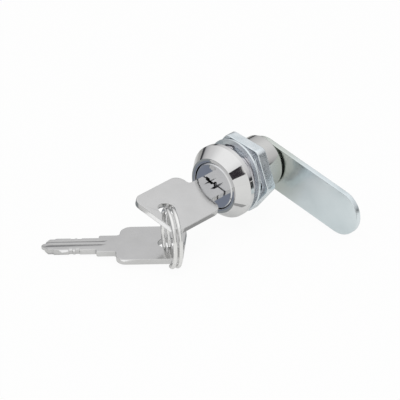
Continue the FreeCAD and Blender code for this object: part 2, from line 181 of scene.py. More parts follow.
def make_paper():
    """Shadow catching paper, mixed with a glow for mirrors and then with a white glow for the camera."""
    material = bpy.data.materials.new("white_table")
    tree = emptied_tree(material)
    path = add_node(tree, "ShaderNodeLightPath")
    split = add_node(tree, "ShaderNodeSeparateXYZ", Vector=object_place(tree))
    side = add_node(tree, "ShaderNodeMapRange", Value=split.outputs["X"], From_Min=SHADED_SIDE,
                    From_Max=LIT_SIDE, To_Min=0.0, To_Max=MIRROR_WHITE)
    grey = add_node(tree, "ShaderNodeCombineColor", Red=side, Green=side, Blue=side)
    for_mirrors = add_node(tree, "ShaderNodeMixShader", {
        0: add_math(tree, "MULTIPLY", path.outputs["Is Glossy Ray"], MIRROR_SHARE),
        1: add_node(tree, "ShaderNodeBsdfDiffuse", Color=PAPER),
        2: add_node(tree, "ShaderNodeEmission", Color=grey, Strength=1.0)})
    for_camera = add_node(tree, "ShaderNodeMixShader", {
        0: add_math(tree, "MULTIPLY", path.outputs["Is Camera Ray"], CAMERA_WHITE),
        1: for_mirrors,
        2: add_node(tree, "ShaderNodeEmission", Color=WHITE, Strength=1.0)})
    add_node(tree, "ShaderNodeOutputMaterial", Surface=for_camera)
    return material


# %% Table
TABLE_HALF = 1.5


def make_table():
    """A square sheet under the lowest point of the object."""
    mesh = bpy.data.meshes.new("table")
    corners = [(x * TABLE_HALF, y * TABLE_HALF, TABLE_LEVEL) for x, y in ((-1, -1), (1, -1), (1, 1), (-1, 1))]
    mesh.from_pydata(corners, [], [(0, 1, 2, 3)])
    table = bpy.data.objects.new("table", mesh)
    bpy.context.scene.collection.objects.link(table)
    mesh.materials.append(make_paper())
    return table


print("table at", round(make_table().data.vertices[0].co.z / MM, 2), "mm")

# %% [markdown]
# The tent round the table is the world. Its light changes only with the height a mirror looks at, from the
# dark seam at the table's end to the bright roof, apart from a front wall that stays pale. Nine steps on
# one colour ramp give the cone its soft bands.

# %% Light tent
TENT = [(0.00, (0.50, 0.50, 0.49, 1)), (0.495, (0.20, 0.20, 0.20, 1)), (0.505, (0.04, 0.04, 0.045, 1)),
        (0.55, (0.06, 0.06, 0.065, 1)), (0.59, (0.46, 0.46, 0.47, 1)), (0.70, (0.66, 0.655, 0.66, 1)),
        (0.80, (0.74, 0.74, 0.745, 1)), (0.92, (0.98, 0.98, 0.98, 1)), (1.0, (1.0, 1.0, 1.0, 1))]
FRONT_WALL = (0.80, -0.60, 0)
WALL_START = 0.45
WALL_FULL = 0.75
WALL_COLOR = (0.80, 0.80, 0.79, 1)
HALF = 0.5


def make_world():
    """White to the camera. Mirrors see a bright roof, grey walls, a dark seam at the table and a front wall.

    The direction's Z runs from -1 to 1, so half of it plus a half is the place on the colour ramp.
    """
    world = bpy.data.worlds.new("light_tent")
    bpy.context.scene.world = world
    tree = emptied_tree(world)
    direction = add_node(tree, "ShaderNodeTexCoord").outputs["Generated"]
    split = add_node(tree, "ShaderNodeSeparateXYZ", Vector=direction)
    height = add_math(tree, "MULTIPLY_ADD", split.outputs["Z"], HALF, HALF)
    ramp = add_node(tree, "ShaderNodeValToRGB", {0: height})
    ramp.color_ramp.elements[0].color = TENT[0][1]
    ramp.color_ramp.elements[1].color = TENT[-1][1]
    for position, color in TENT[1:-1]:
        ramp.color_ramp.elements.new(position).color = color
    forward = add_node(tree, "ShaderNodeVectorMath", {0: direction, 1: FRONT_WALL}, operation="DOT_PRODUCT")
    wall = add_node(tree, "ShaderNodeMapRange", Value=forward.outputs["Value"], From_Min=WALL_START,
                    From_Max=WALL_FULL)
    room = add_color_mix(tree, wall, ramp, WALL_COLOR, "LIGHTEN")
    surface = add_node(tree, "ShaderNodeMixShader", {
        0: add_node(tree, "ShaderNodeLightPath").outputs["Is Camera Ray"],
        1: add_node(tree, "ShaderNodeBackground", Color=room, Strength=1.0),
        2: add_node(tree, "ShaderNodeBackground", Color=WHITE, Strength=1.0)})
    add_node(tree, "ShaderNodeOutputWorld", Surface=surface)
    return world


print("world", make_world().name, "with", len(TENT), "steps of light")

# %% [markdown]
# A few cards stand in for what the chrome mirrors in the photograph: the dark patch of the camera on the
# cone, the grey sheets that the face looks down on, and for the right end of the rim a strip far behind and
# a card in front of the cam, which the rim sees by way of the cam. A white and a grey sheet by the key
# light the end of its bow and shade the bow's right side. Only reflections see the cards.

# %% A card that only reflections see
def add_card(name, corners, color):
    """A flat card through corners given in millimetres."""
    mesh = bpy.data.meshes.new(name)
    mesh.from_pydata([Vector(corner) * MM for corner in corners], [], [tuple(range(len(corners)))])
    card = bpy.data.objects.new(name, mesh)
    bpy.context.scene.collection.objects.link(card)
    for ray in ("camera", "diffuse", "shadow", "transmission"):
        setattr(card, "visible_" + ray, False)
    material = bpy.data.materials.new(name)
    tree = emptied_tree(material)
    glow = add_node(tree, "ShaderNodeEmission", Color=(*color, 1), Strength=1.0)
    add_node(tree, "ShaderNodeOutputMaterial", Surface=glow)
    mesh.materials.append(material)
    print("card", name)
    return card


# %% Dark patch of the camera
CONE_SPOT = Vector((7.83, -3.88, 6.45))
TO_CARD = Vector((0.648, -0.530, 0.547)).normalized()
ALONG_CONE = Vector((0.457, 0.805, 0.377))
PATCH_DISTANCE = 60
PATCH_HALF_WIDTH = 2.9
PATCH_HALF_HEIGHT = 14
PATCH_COLOR = (0.035, 0.03, 0.035)
card_side = (ALONG_CONE - TO_CARD * ALONG_CONE.dot(TO_CARD)).normalized()
card_up = TO_CARD.cross(card_side)
card_middle = CONE_SPOT + TO_CARD * PATCH_DISTANCE
add_card("camera_patch", [card_middle + card_side * a * PATCH_HALF_WIDTH + card_up * b * PATCH_HALF_HEIGHT
                          for a, b in ((-1, -1), (1, -1), (1, 1), (-1, 1))], PATCH_COLOR)

# %% Sheets on the table and a card on edge
SHEET_LIFT = 0.05
sheet_level = TABLE_LEVEL / MM + SHEET_LIFT
NEARLY_BLACK = (0.03, 0.03, 0.03)


def lying(*corners):
    """Corners of a sheet that lies on the table."""
    return [(x, y, sheet_level) for x, y in corners]


def standing(start, end, top):
    """Corners of a card that stands on the table between two places and ends at height top."""
    return lying(start, end) + [(*end, top), (*start, top)]


CARDS = {
    "green_grey_sheet": (lying((-70, -62), (-34, -50), (-9, -31), (5, -14), (-10, -9), (-70, -9)),
                         (0.27, 0.29, 0.30)),
    "dark_card": (standing((43.5, -1.7), (52.5, 8.3), 1.5), NEARLY_BLACK),
    "dark_strip": (lying((130, 82), (412, 336), (380, 370), (108, 110)), NEARLY_BLACK),
    "white_sheet": (lying((-21.5, -54), (-21.5, -50.3), (-6, -46), (3, -44.5), (3, -49.8), (-8, -50.6)),
                    (1.25, 1.25, 1.25)),
    "shade_sheet": (lying((12.6, -24), (15.8, -24), (15.8, -4), (12.6, -4)), (0.35, 0.35, 0.35)),
}
for name, (corners, color) in CARDS.items():
    add_card(name, corners, color)

# %% Round sheet that the plug's face mirrors
FACE = -5.6
SHEET_GAP = 0.02
PLUG_SHEET_RADIUS = 7.0
PLUG_SHEET_COLOR = (0.20, 0.222, 0.275)


def circle(radius, count):
    """Evenly spread points of a circle."""
    return [(radius * math.cos(2 * math.pi * step / count), radius * math.sin(2 * math.pi * step / count))
            for step in range(count)]


def under_plug(x, z):
    """Where the camera sees the table mirrored in the face of the head, at a point of that face."""
    spot = Vector((x, FACE, z))
    glance = spot - CAMERA_PLACE / MM
    glance.y = -glance.y
    return spot + glance * ((spot.z - sheet_level - SHEET_GAP) / -glance.z)


add_card("blue_grey_sheet", [under_plug(x, z) for x, z in circle(PLUG_SHEET_RADIUS, count=64)],
         PLUG_SHEET_COLOR)


# %% [markdown]
# One large soft lamp hangs above and gives the table its faint shadow. Mirrors don't see it, because its
# sharp outline would stand on the cone. The tent gives the metals all that they mirror.

# %% Soft lamp
def add_lamp(name, place, aim, size, brightness):
    """A square soft light at place, facing aim."""
    lamp = bpy.data.objects.new(name, bpy.data.lights.new(name, "AREA"))
    lamp.data.size = size
    lamp.data.energy = brightness * math.pi * size * size
    lamp.location = place
    lamp.rotation_mode = "QUATERNION"
    lamp.rotation_quaternion = (Vector(aim) - Vector(place)).to_track_quat("-Z", "Y")
    lamp.visible_glossy = False
    bpy.context.scene.collection.objects.link(lamp)
    return lamp


top_light = add_lamp("top_light", place=(0.22, -0.22, 0.75), aim=(0, 0, 0), size=0.5, brightness=1.2)
print("lamp of", round(top_light.data.energy, 2), "watts")

# %% [markdown]
# ## Shared effects for the metals
# Plated metal is never one flat grey. Three small node groups are there for the finishes to share: a slow
# change of tone across the plating, fine scratches that run one way, and a fine grain. Each gives out only
# a value, a colour or a height, and the shader itself stays in the material.

# %% Node group sockets
FLOAT = "NodeSocketFloat"
COLOR = "NodeSocketColor"


def new_group(name, inputs, outputs):
    """A shader node group with float or colour sockets; returns its tree and what it is given."""
    tree = bpy.data.node_groups.new(name, "ShaderNodeTree")
    for label, kind, value in inputs:
        socket = tree.interface.new_socket(label, in_out="INPUT", socket_type=kind)
        socket.default_value = value
    for label, kind in outputs:
        tree.interface.new_socket(label, in_out="OUTPUT", socket_type=kind)
    return tree, tree.nodes.new("NodeGroupInput").outputs


# %% Slow change of tone in the plating
def make_tone_group():
    """Cloudy patches between a light and a dark tone."""
    tree, given = new_group(
        "plating_tone", [("Light", COLOR, WHITE), ("Dark", COLOR, (0.5, 0.5, 0.5, 1)), ("Scale", FLOAT, 60)],
        [("Color", COLOR), ("Value", FLOAT)])
    cloud = add_node(tree, "ShaderNodeTexNoise", Vector=object_place(tree), Scale=given["Scale"], Detail=3.0,
                     Roughness=0.55)
    spread = add_node(tree, "ShaderNodeMapRange", Value=cloud.outputs["Fac"], From_Min=0.3, From_Max=0.7)
    mixed = add_color_mix(tree, spread, given["Dark"], given["Light"])
    add_node(tree, "NodeGroupOutput", Color=mixed, Value=spread)
    return tree


# %% Fine scratches that run one way
def make_scratch_group():
    """Noise that is drawn out along one direction."""
    tree, given = new_group(
        "fine_scratches", [("Scale", FLOAT, 900), ("Stretch", FLOAT, 0.05), ("Turn", FLOAT, 0.0)],
        [("Height", FLOAT)])
    turned = add_node(tree, "ShaderNodeVectorRotate", rotation_type="Z_AXIS", Vector=object_place(tree),
                      Angle=given["Turn"])
    squeeze = add_node(tree, "ShaderNodeCombineXYZ", X=1.0, Y=given["Stretch"], Z=1.0)
    sized = add_node(tree, "ShaderNodeVectorMath", {0: turned, 1: squeeze}, operation="MULTIPLY")
    lines = add_node(tree, "ShaderNodeTexNoise", Vector=sized, Scale=given["Scale"], Detail=4.0,
                     Roughness=0.6)
    add_node(tree, "NodeGroupOutput", Height=lines.outputs["Fac"])
    return tree


# %% Fine grain of a tumbled plate
def make_grain_group():
    """Small dots with finer noise on them."""
    tree, given = new_group("fine_grain", [("Scale", FLOAT, 2500)], [("Height", FLOAT)])
    place = object_place(tree)
    dots = add_node(tree, "ShaderNodeTexVoronoi", feature="F1", Vector=place, Scale=given["Scale"])
    dust = add_node(tree, "ShaderNodeTexNoise", Vector=place, Scale=given["Scale"], Detail=2.0)
    total = add_math(tree, "ADD", dots.outputs["Distance"], dust.outputs["Fac"])
    add_node(tree, "NodeGroupOutput", Height=total)
    return tree


tone_group = make_tone_group()
scratch_group = make_scratch_group()
grain_group = make_grain_group()
print("groups", [group.name for group in (tone_group, scratch_group, grain_group)])

# %% [markdown]
# ## Places where a finish changes
# Three things vary with the place and not with chance. Narrow gaps, grooves and thread roots get painted
# shade, as ambient occlusion drives a dark tone there. The thread is rougher than the polished head and has
# painted shade, the plating behind it is a darker grey, and the cam has a painted warm reflection of the
# barrel round the plug.

# %% Painted shade in narrow gaps
# Painted shade: ambient occlusion darkens the colour in gaps within this reach.
GAP_SHADE_REACH = 0.9 * MM
GAP_SHADE_BLUE = 1.1
OPEN_SAMPLES = 8


def add_painted_gap_shade(tree, color, shade_in_gaps):
    """The colour with painted shade in narrow gaps, from (open share that is all shade, clean share, tone).
    """
    all_shade, clean, tone = shade_in_gaps
    near = add_node(tree, "ShaderNodeAmbientOcclusion", samples=OPEN_SAMPLES, Distance=GAP_SHADE_REACH)
    open_share = add_node(tree, "ShaderNodeMapRange", Value=near.outputs["AO"], From_Min=all_shade,
                          From_Max=clean)
    return add_color_mix(tree, open_share, (tone, tone, tone * GAP_SHADE_BLUE, 1), color)


# %% Painted shade on the barrel's thread and a darker grey behind it
ZONE_START = 0.2 * MM
ZONE_END = 9.8 * MM
# Painted shade that darkens the thread, and a plain darker grey for the barrel behind it.
THREAD_SHADE_TINT = (0.62, 0.61, 0.64, 1)
REAR_GREY = (0.68, 0.68, 0.67, 1)
THREAD_DULLNESS = 0.22


def add_thread_shade_zone(tree, color, dull):
    """A rougher stretch with painted shade on the thread and a darker grey behind it, found by the place on
    the axis.
    """
    along = add_node(tree, "ShaderNodeSeparateXYZ", Vector=object_place(tree)).outputs["Y"]
    started = add_math(tree, "GREATER_THAN", along, ZONE_START)
    not_ended = add_math(tree, "LESS_THAN", along, ZONE_END)
    thread = add_math(tree, "MULTIPLY", started, not_ended)
    behind = add_math(tree, "GREATER_THAN", along, ZONE_END)
    thread_shaded = add_color_mix(tree, thread, color, THREAD_SHADE_TINT)
    rougher = add_math(tree, "MULTIPLY_ADD", thread, THREAD_DULLNESS, dull)
    return add_color_mix(tree, behind, thread_shaded, REAR_GREY), rougher


# %% Painted warm reflection of the barrel on the cam
ROOT_INNER = 10 * MM
ROOT_OUTER = 18 * MM
# Painted reflection of the barrel: the zinc is tinted warm and darker near the axis.
BARREL_REFLECTION_TINT = (0.86, 0.84, 0.77, 1)
ACROSS_AXIS = (1, 0, 1)


def add_painted_barrel_reflection(tree, color, dull):
    """A painted warm, darker reflection of the barrel on the zinc near the lock's axis."""
    across = add_node(tree, "ShaderNodeVectorMath", {0: object_place(tree), 1: ACROSS_AXIS},
                      operation="MULTIPLY")
    reach = add_node(tree, "ShaderNodeVectorMath", {0: across}, operation="LENGTH")
    root = add_node(tree, "ShaderNodeMapRange", Value=reach.outputs["Value"], From_Min=ROOT_INNER,
                    From_Max=ROOT_OUTER, To_Min=1.0, To_Max=0.0)
    return add_color_mix(tree, root, color, BARREL_REFLECTION_TINT, "MULTIPLY"), dull


# %% [markdown]
# ## The finishes
# One function builds each metal from the shared effects, with its own values. Chrome is a mirror with
# almost no texture, the cam's zinc is a soft mirror with a cool cast, and the nut is grainy. The keys and
# their ring are nickel that tumbling has polished, so they mirror too, only less clearly than the chrome.

# %% One metal from the shared effects
# How strong the painted shade in narrow gaps is: mild on most metals, strong on the keys.
LIGHT_GAP_SHADE = (0.02, 0.30, 0.08)
KEY_GAP_SHADE = (0.35, 0.92, 0.16)


def scratches(scale, stretch, turn, depth):
    """Fine scratches of that depth in mm for a metal."""
    return scratch_group, {"Scale": scale, "Stretch": stretch, "Turn": turn}, depth


def grains(scale, depth):
    """Fine grain of that depth in mm for a metal."""
    return grain_group, {"Scale": scale}, depth


def metal(name, light, dark, roughness, spread, tone_scale, texture=None, zone=None, shade_in_gaps=LIGHT_GAP_SHADE):
    """A plated metal between two tones with painted shade in its gaps; a zone changes its colour and
    roughness with the place.
    """
    material = bpy.data.materials.new(name)
    material.use_nodes = True
    tree = material.node_tree
    tone = add_node(tree, "ShaderNodeGroup", node_tree=tone_group, Light=(*light, 1), Dark=(*dark, 1),
                    Scale=tone_scale)
    color = tone.outputs["Color"]
    dull = add_node(tree, "ShaderNodeMapRange", Value=tone.outputs["Value"], To_Min=roughness - spread / 2,
                    To_Max=roughness + spread / 2)
    if zone:
        color, dull = zone(tree, color, dull)
    # Painted shade darkens the colour in narrow gaps.
    given = {"Metallic": 1.0, "Base Color": add_painted_gap_shade(tree, color, shade_in_gaps), "Roughness": dull}
    if texture:
        group, values, depth = texture
        effect = add_node(tree, "ShaderNodeGroup", node_tree=group, **values)
        given["Normal"] = add_node(tree, "ShaderNodeBump", Strength=1.0, Distance=depth * MM, Height=effect)
    for label, source in given.items():
        feed(tree, tree.nodes["Principled BSDF"].inputs[label], source)
    return material


# %% The eight finishes
LOOKS = {
    "bright_chrome": dict(light=(0.82, 0.82, 0.82), dark=(0.78, 0.78, 0.78), roughness=0.05, spread=0.02,
                          tone_scale=80, texture=grains(900, 0.0006), zone=add_thread_shade_zone),
    "plug_chrome": dict(light=(0.84, 0.84, 0.85), dark=(0.78, 0.79, 0.81), roughness=0.07, spread=0.03,
                        tone_scale=150, texture=scratches(1500, 0.08, 0.4, 0.0008)),
    "zinc_plate": dict(light=(0.86, 0.93, 0.96), dark=(0.74, 0.82, 0.85), roughness=0.22, spread=0.10,
                       tone_scale=90, texture=scratches(1200, 0.25, 0.9, 0.003), zone=add_painted_barrel_reflection),
    "nut_zinc": dict(light=(0.90, 0.95, 0.98), dark=(0.76, 0.83, 0.87), roughness=0.28, spread=0.10,
                     tone_scale=420, texture=grains(2600, 0.006)),
    "key_nickel": dict(light=(0.71, 0.71, 0.71), dark=(0.66, 0.66, 0.66), roughness=0.12, spread=0.08,
                       tone_scale=150, texture=scratches(1500, 0.10, 1.1, 0.0006), shade_in_gaps=KEY_GAP_SHADE),
    "ring_nickel": dict(light=(0.93, 0.93, 0.92), dark=(0.86, 0.86, 0.85), roughness=0.10, spread=0.06,
                        tone_scale=300, texture=scratches(1600, 0.3, 0.2, 0.001)),
    "spring_steel": dict(light=(0.62, 0.63, 0.65), dark=(0.48, 0.49, 0.51), roughness=0.3, spread=0.1,
                         tone_scale=300),
    "brass": dict(light=(0.80, 0.66, 0.38), dark=(0.68, 0.53, 0.28), roughness=0.28, spread=0.1,
                  tone_scale=200),
}
FINISHES = {name: metal(name, **look) for name, look in LOOKS.items()}
print("finishes", sorted(FINISHES))

# %% [markdown]
# ## Ways to make the meshes
# Nearly every piece is turned on a lathe or stamped from a plate, so two helpers make them. One joins rings
# of points round the lock's axis, which also takes a thread or a hexagon, because each ring may have any
# outline. The other stamps a plate with rounded edges out of an outline. Normals are smooth except at sharp
# folds, and they are weighted by area, so that a large flat face mirrors as a flat one right up to its
# rounded edge.

# %% Change a mesh with the mesh editor
SAME_POINT = 1e-5


def rework(mesh, change):
    """Run a change on a mesh that is open in the mesh editor."""
    work = bmesh.new()
    work.from_mesh(mesh)
    change(work)
    work.to_mesh(mesh)
    work.free()


def face_outwards(work):
    """Merge points that coincide and turn every face outwards."""
    bmesh.ops.remove_doubles(work, verts=work.verts, dist=SAME_POINT)
    bmesh.ops.recalc_face_normals(work, faces=work.faces)


# %% Put a finished mesh in the scene
SHARP = math.radians(32)
LEVEL = Matrix.Identity(4)


def place_piece(name, mesh, body, slot, nodes, matrix=LEVEL, sharp=SHARP):
    """Turn a mesh in millimetres into a piece that rides on a body and stands for its CAD nodes."""
    rework(mesh, face_outwards)
    mesh.transform(matrix @ Matrix.Scale(MM, 4))
    mesh.shade_smooth()
    mesh.set_sharp_from_angle(angle=sharp)
    piece = bpy.data.objects.new(name, mesh)
    bpy.context.scene.collection.objects.link(piece)
    weigh = piece.modifiers.new("flat_faces", "WEIGHTED_NORMAL")
    weigh.keep_sharp = True
    mesh = bpy.data.meshes.new_from_object(piece.evaluated_get(bpy.context.evaluated_depsgraph_get()))
    piece.modifiers.clear()
    piece.data = mesh
    mesh.materials.clear()
    mesh.materials.append(FINISHES[slot])
    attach(piece, body)
    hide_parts(*nodes)
    print("%-22s %6d faces" % (name, len(mesh.polygons)))
    return piece


# %% Join rings of points into a closed skin
ROUND_STEPS = 192


def skin(name, rows, closed=True):
    """A mesh through rows of equally many points; a closed skin joins the last row to the first."""
    count = len(rows[0])
    points = [point for row in rows for point in row]
    faces = []
    last = len(rows) if closed else len(rows) - 1
    for level in range(last):
        low = level * count
        high = ((level + 1) % len(rows)) * count
        for step in range(count):
            following = (step + 1) % count
            faces.append((low + step, low + following, high + following, high + step))
    mesh = bpy.data.meshes.new(name)
    mesh.from_pydata(points, [], faces)
    return mesh


def cap(name, rows):
    """A skin that is closed by a flat face at each end."""
    mesh = skin(name, rows, closed=False)
    rework(mesh, lambda work: bmesh.ops.holes_fill(work, edges=work.edges, sides=0))
    return mesh


def axis_row(y, radius, segments=ROUND_STEPS):
    """A ring of points at y about the lock's axis; radius is a number or a function of the angle."""
    row = []
    for step in range(segments):
        angle = 2 * math.pi * step / segments
        reach = radius(angle) if callable(radius) else radius
        row.append((reach * math.cos(angle), y, reach * math.sin(angle)))
    return row


# %% Round the corners of an outline
STEPS_PER_MM = 4


def soften(corners, steps=5):
    """Points of a closed outline from (a, b, radius) corners, with an arc at each corner."""
    points = []
    for index, (a, b, radius) in enumerate(corners):
        here = Vector((a, b))
        if radius == 0:
            points.append(here)
            continue
        before = (Vector(corners[index - 1][:2]) - here).normalized()
        after = (Vector(corners[(index + 1) % len(corners)][:2]) - here).normalized()
        half = before.angle(after) / 2
        centre = here + (before + after).normalized() * (radius / math.sin(half))
        first = here + before * (radius / math.tan(half)) - centre
        second = here + after * (radius / math.tan(half)) - centre
        turn = -first.angle_signed(second)
        parts = max(steps, int(STEPS_PER_MM * radius))
        for step in range(parts + 1):
            points.append(centre + Matrix.Rotation(turn * step / parts, 2) @ first)
    return points


def turned_rows(points, segments=ROUND_STEPS):
    """One ring of points for each (y, radius) point of a profile."""
    return [axis_row(point.x, point.y, segments) for point in points]


def lathe(name, corners, segments=ROUND_STEPS):
    """A turned solid from (y, radius, corner radius) corners."""
    return skin(name, turned_rows(soften(corners), segments))


# %% Help with outlines
REPEATED = 1e-4
SHARPEST = 0.3


def thinned(points):
    """The points of a closed outline without those that repeat."""
    points = [Vector(point) for point in points]
    return [point for index, point in enumerate(points) if (point - points[index - 1]).length > REPEATED]


def signed_area(points):
    """The area inside a closed outline, less than zero if it runs clockwise."""
    return sum(points[index - 1].cross(points[index]) for index in range(len(points))) / 2


def shifted(points, distance):
    """A closed outline moved to its left by distance."""
    moved = []
    for index, point in enumerate(points):
        before = (point - points[index - 1]).normalized()
        after = (points[(index + 1) % len(points)] - point).normalized()
        middle = (before + after).normalized()
        moved.append(point + Vector((-middle.y, middle.x)) * (distance / max(SHARPEST, middle.dot(after))))
    return moved


def ring_edges(work, ring):
    """The edges between neighbours of a closed ring of vertices."""
    return [work.edges.get((ring[index - 1], ring[index])) for index in range(len(ring))]


def quarter(steps):
    """Evenly spread angles of a quarter turn."""
    return [step / steps * math.pi / 2 for step in range(steps + 1)]


# %% Stamp a plate from an outline
EDGE_STEPS = 3


def plate(name, outline, holes, thickness, edge):
    """A plate in the XY plane, centred on Z, whose edges are rounded by edge."""
    work = bmesh.new()
    fronts, backs = [], []
    for index, loop in enumerate([outline] + list(holes)):
        points = thinned(loop)
        inward = 1 if (signed_area(points) > 0) == (index == 0) else -1
        rows = []
        for side in (-1, 1):
            for turn in quarter(EDGE_STEPS)[::side]:
                moved = shifted(points, inward * edge * (1 - math.cos(turn)))
                level = side * (thickness / 2 - edge + edge * math.sin(turn))
                rows.append([work.verts.new((*point, level)) for point in moved])
        for low, high in zip(rows, rows[1:]):
            for step in range(len(points)):
                following = (step + 1) % len(points)
                work.faces.new((low[step], low[following], high[following], high[step]))
        backs += ring_edges(work, rows[0])
        fronts += ring_edges(work, rows[-1])
    for edges in (backs, fronts):
        bmesh.ops.triangle_fill(work, use_beauty=True, edges=edges)
    bmesh.ops.recalc_face_normals(work, faces=work.faces)
    mesh = bpy.data.meshes.new(name)
    work.to_mesh(mesh)
    work.free()
    return mesh


# %% [markdown]
# Slots, grooves and bores are cut as a machinist would cut them, by taking a cutter's shape away from a
# blank. The exact solver is slower than the fast one, but it leaves no stray faces where a cutter meets a
# flat.

# %% Cut one mesh with others
def cut(mesh, cutters):
    """The mesh less the cutters, one after another."""
    for shape in [mesh, *cutters]:
        rework(shape, face_outwards)
    shelf = bpy.context.scene.collection.objects
    target = bpy.data.objects.new("target", mesh)
    shelf.link(target)
    for index, cutter in enumerate(cutters):
        tool = bpy.data.objects.new("tool", cutter)
        shelf.link(tool)
        modifier = target.modifiers.new("cut%d" % index, "BOOLEAN")
        modifier.operation = "DIFFERENCE"
        modifier.solver = "EXACT"
        modifier.object = tool
    made = bpy.data.meshes.new_from_object(target.evaluated_get(bpy.context.evaluated_depsgraph_get()))
    for used in [target] + [modifier.object for modifier in target.modifiers]:
        bpy.data.objects.remove(used)
    return made


# %% Shapes of the cutters
CUT_CLEAR = 1.0


def arc(radius, start, end, steps=12, centre=(0, 0)):
    """Points of an arc, angles in degrees."""
    angles = [math.radians(start + (end - start) * step / steps) for step in range(steps + 1)]
    return [(centre[0] + radius * math.cos(a), centre[1] + radius * math.sin(a)) for a in angles]


def prism(section, start, end):
    """A solid along Y from a section of (x, z) points."""
    return cap("prism", [[(x, y, z) for x, z in section] for y in (start, end)])


def rectangle(half_x, half_z):
    """Corners of a rectangle about the axis."""
    return [(-half_x, -half_z), (half_x, -half_z), (half_x, half_z), (-half_x, half_z)]


# %% [markdown]
# ## Head and barrel
# The housing is one zinc casting under chrome: a cone that ends in a short rim, then the threaded barrel
# with its two flats, then the plain rear end. Rings of points make it in one skin. Only the rings of the
# threaded stretch follow a helix, and the flats cut across them, as on the real casting. The lock lies on
# the table, so it is rolled a little about its axis.

# %% Sizes of the head and the bore
LIE_ROLL = math.radians(13.5)
ROLLED = Matrix.Rotation(LIE_ROLL, 4, "Y")
HEAD_RADIUS = 11.75
FRONT_RADIUS = 8.88
RIM_START = FACE + 3.9
FACE_EDGE = 0.12
CONE_EDGE = 0.25
RIM_EDGE = 0.3
COUNTERBORE = 7.62
COUNTERBORE_END = FACE + 2.3
BORE = 6.06
BORE_MIDDLE = 8.0
CHANNEL_RADIUS = 6.95
CHANNEL_HALF = 2.75
CHANNEL_START = FACE + 2.7
CHANNEL_END = FACE + 14.7
print("head", 2 * HEAD_RADIUS, "mm across and", -FACE, "mm deep")

# %% Sizes of the barrel
THREAD_RADIUS = 9.5
THREAD_START = 0.3
THREAD_END = 9.6
THREAD_PITCH = 1.0
THREAD_DEPTH = 0.34
THREAD_STEEPNESS = 1.25
RINGS_PER_PITCH = 8
HALF_FLATS = 8.9
RUN_OUT = 0.5
RUN_OUT_EDGE = 0.2
BARREL_RADIUS = 8.45
BARREL_END = 16.7
BARREL_EDGE = 0.4
BORE_EDGE = 0.1
print("barrel", 2 * THREAD_RADIUS, "mm across and", BARREL_END, "mm long")


# %% Threaded stretch of the barrel
def thread_radius(y, angle):
    """Radius of the screw thread at a place, shallower near both ends."""
    fade = min(1.0, max(0.0, min(y - THREAD_START, THREAD_END - y) / THREAD_PITCH))
    phase = (y / THREAD_PITCH - angle / (2 * math.pi)) % 1.0
    ridge = min(1.0, THREAD_STEEPNESS * abs(2 * phase - 1))
    return THREAD_RADIUS - THREAD_DEPTH * fade * ridge


def barrel_radius(y):
    """Radius of the barrel as a function of the angle, with its two flats."""
    def reach(angle):
        flat = HALF_FLATS / max(abs(math.sin(angle)), HALF_FLATS / THREAD_RADIUS)
        return min(thread_radius(y, angle), flat)
    return reach


# %% Housing in one skin, with the grooves of its bore
def channel(middle):
    """A cutter for the two grooves of the bore that face each other at that angle, where the wafers lock."""
    half = math.degrees(math.asin(CHANNEL_HALF / CHANNEL_RADIUS))
    section = [point for side in (0, 180)
               for point in arc(CHANNEL_RADIUS, middle + side - half, middle + side + half)]
    return prism(section, CHANNEL_START, CHANNEL_END)


def make_housing():
    """From the middle of the bore forwards over the face and the cone, then back along the barrel and in."""
    bore_middle = (BORE_MIDDLE, BORE, 0)
    front = soften([
        bore_middle, (COUNTERBORE_END, BORE, 0), (COUNTERBORE_END, COUNTERBORE, 0),
        (FACE, COUNTERBORE, FACE_EDGE), (FACE, FRONT_RADIUS, FACE_EDGE), (RIM_START, HEAD_RADIUS, CONE_EDGE),
        (0, HEAD_RADIUS, RIM_EDGE), (0, THREAD_RADIUS, 0)])[:-1]
    count = int(THREAD_END / THREAD_PITCH * RINGS_PER_PITCH)
    thread = [axis_row(y, barrel_radius(y)) for y in (THREAD_END * step / count for step in range(count + 1))]
    rear = soften([
        (THREAD_END + RUN_OUT, BARREL_RADIUS, RUN_OUT_EDGE), (BARREL_END, BARREL_RADIUS, BARREL_EDGE),
        (BARREL_END, BORE, BORE_EDGE), bore_middle])[:-1]
    return cut(skin("head_and_barrel", turned_rows(front) + thread + turned_rows(rear)),
               [channel(0), channel(90)])


place_piece("head_and_barrel", make_housing(), "housing", "bright_chrome", ["lock_housing"], ROLLED)

# %% End stop of the barrel
LUG_START = 215
LUG_END = 245
LUG_OUTER = 7.9
LUG_INNER = 6.75
LUG_SUNK = 0.1
LUG_HEIGHT = 0.45
lug_outline = arc(LUG_OUTER, LUG_START, LUG_END) + arc(LUG_INNER, LUG_END, LUG_START)
place_piece("barrel_stop_lug", prism(lug_outline, BARREL_END - LUG_SUNK, BARREL_END + LUG_HEIGHT), "housing",
            "bright_chrome", ["lock_housing"], ROLLED)

# %% [markdown]
# ## Plug
# The plug is what the key turns. Its polished face has a bright bevelled rim and the dark key slot. The
# slot and the slots for the wafers are cut out of the turned body, so that one can look into it with the
# key out.

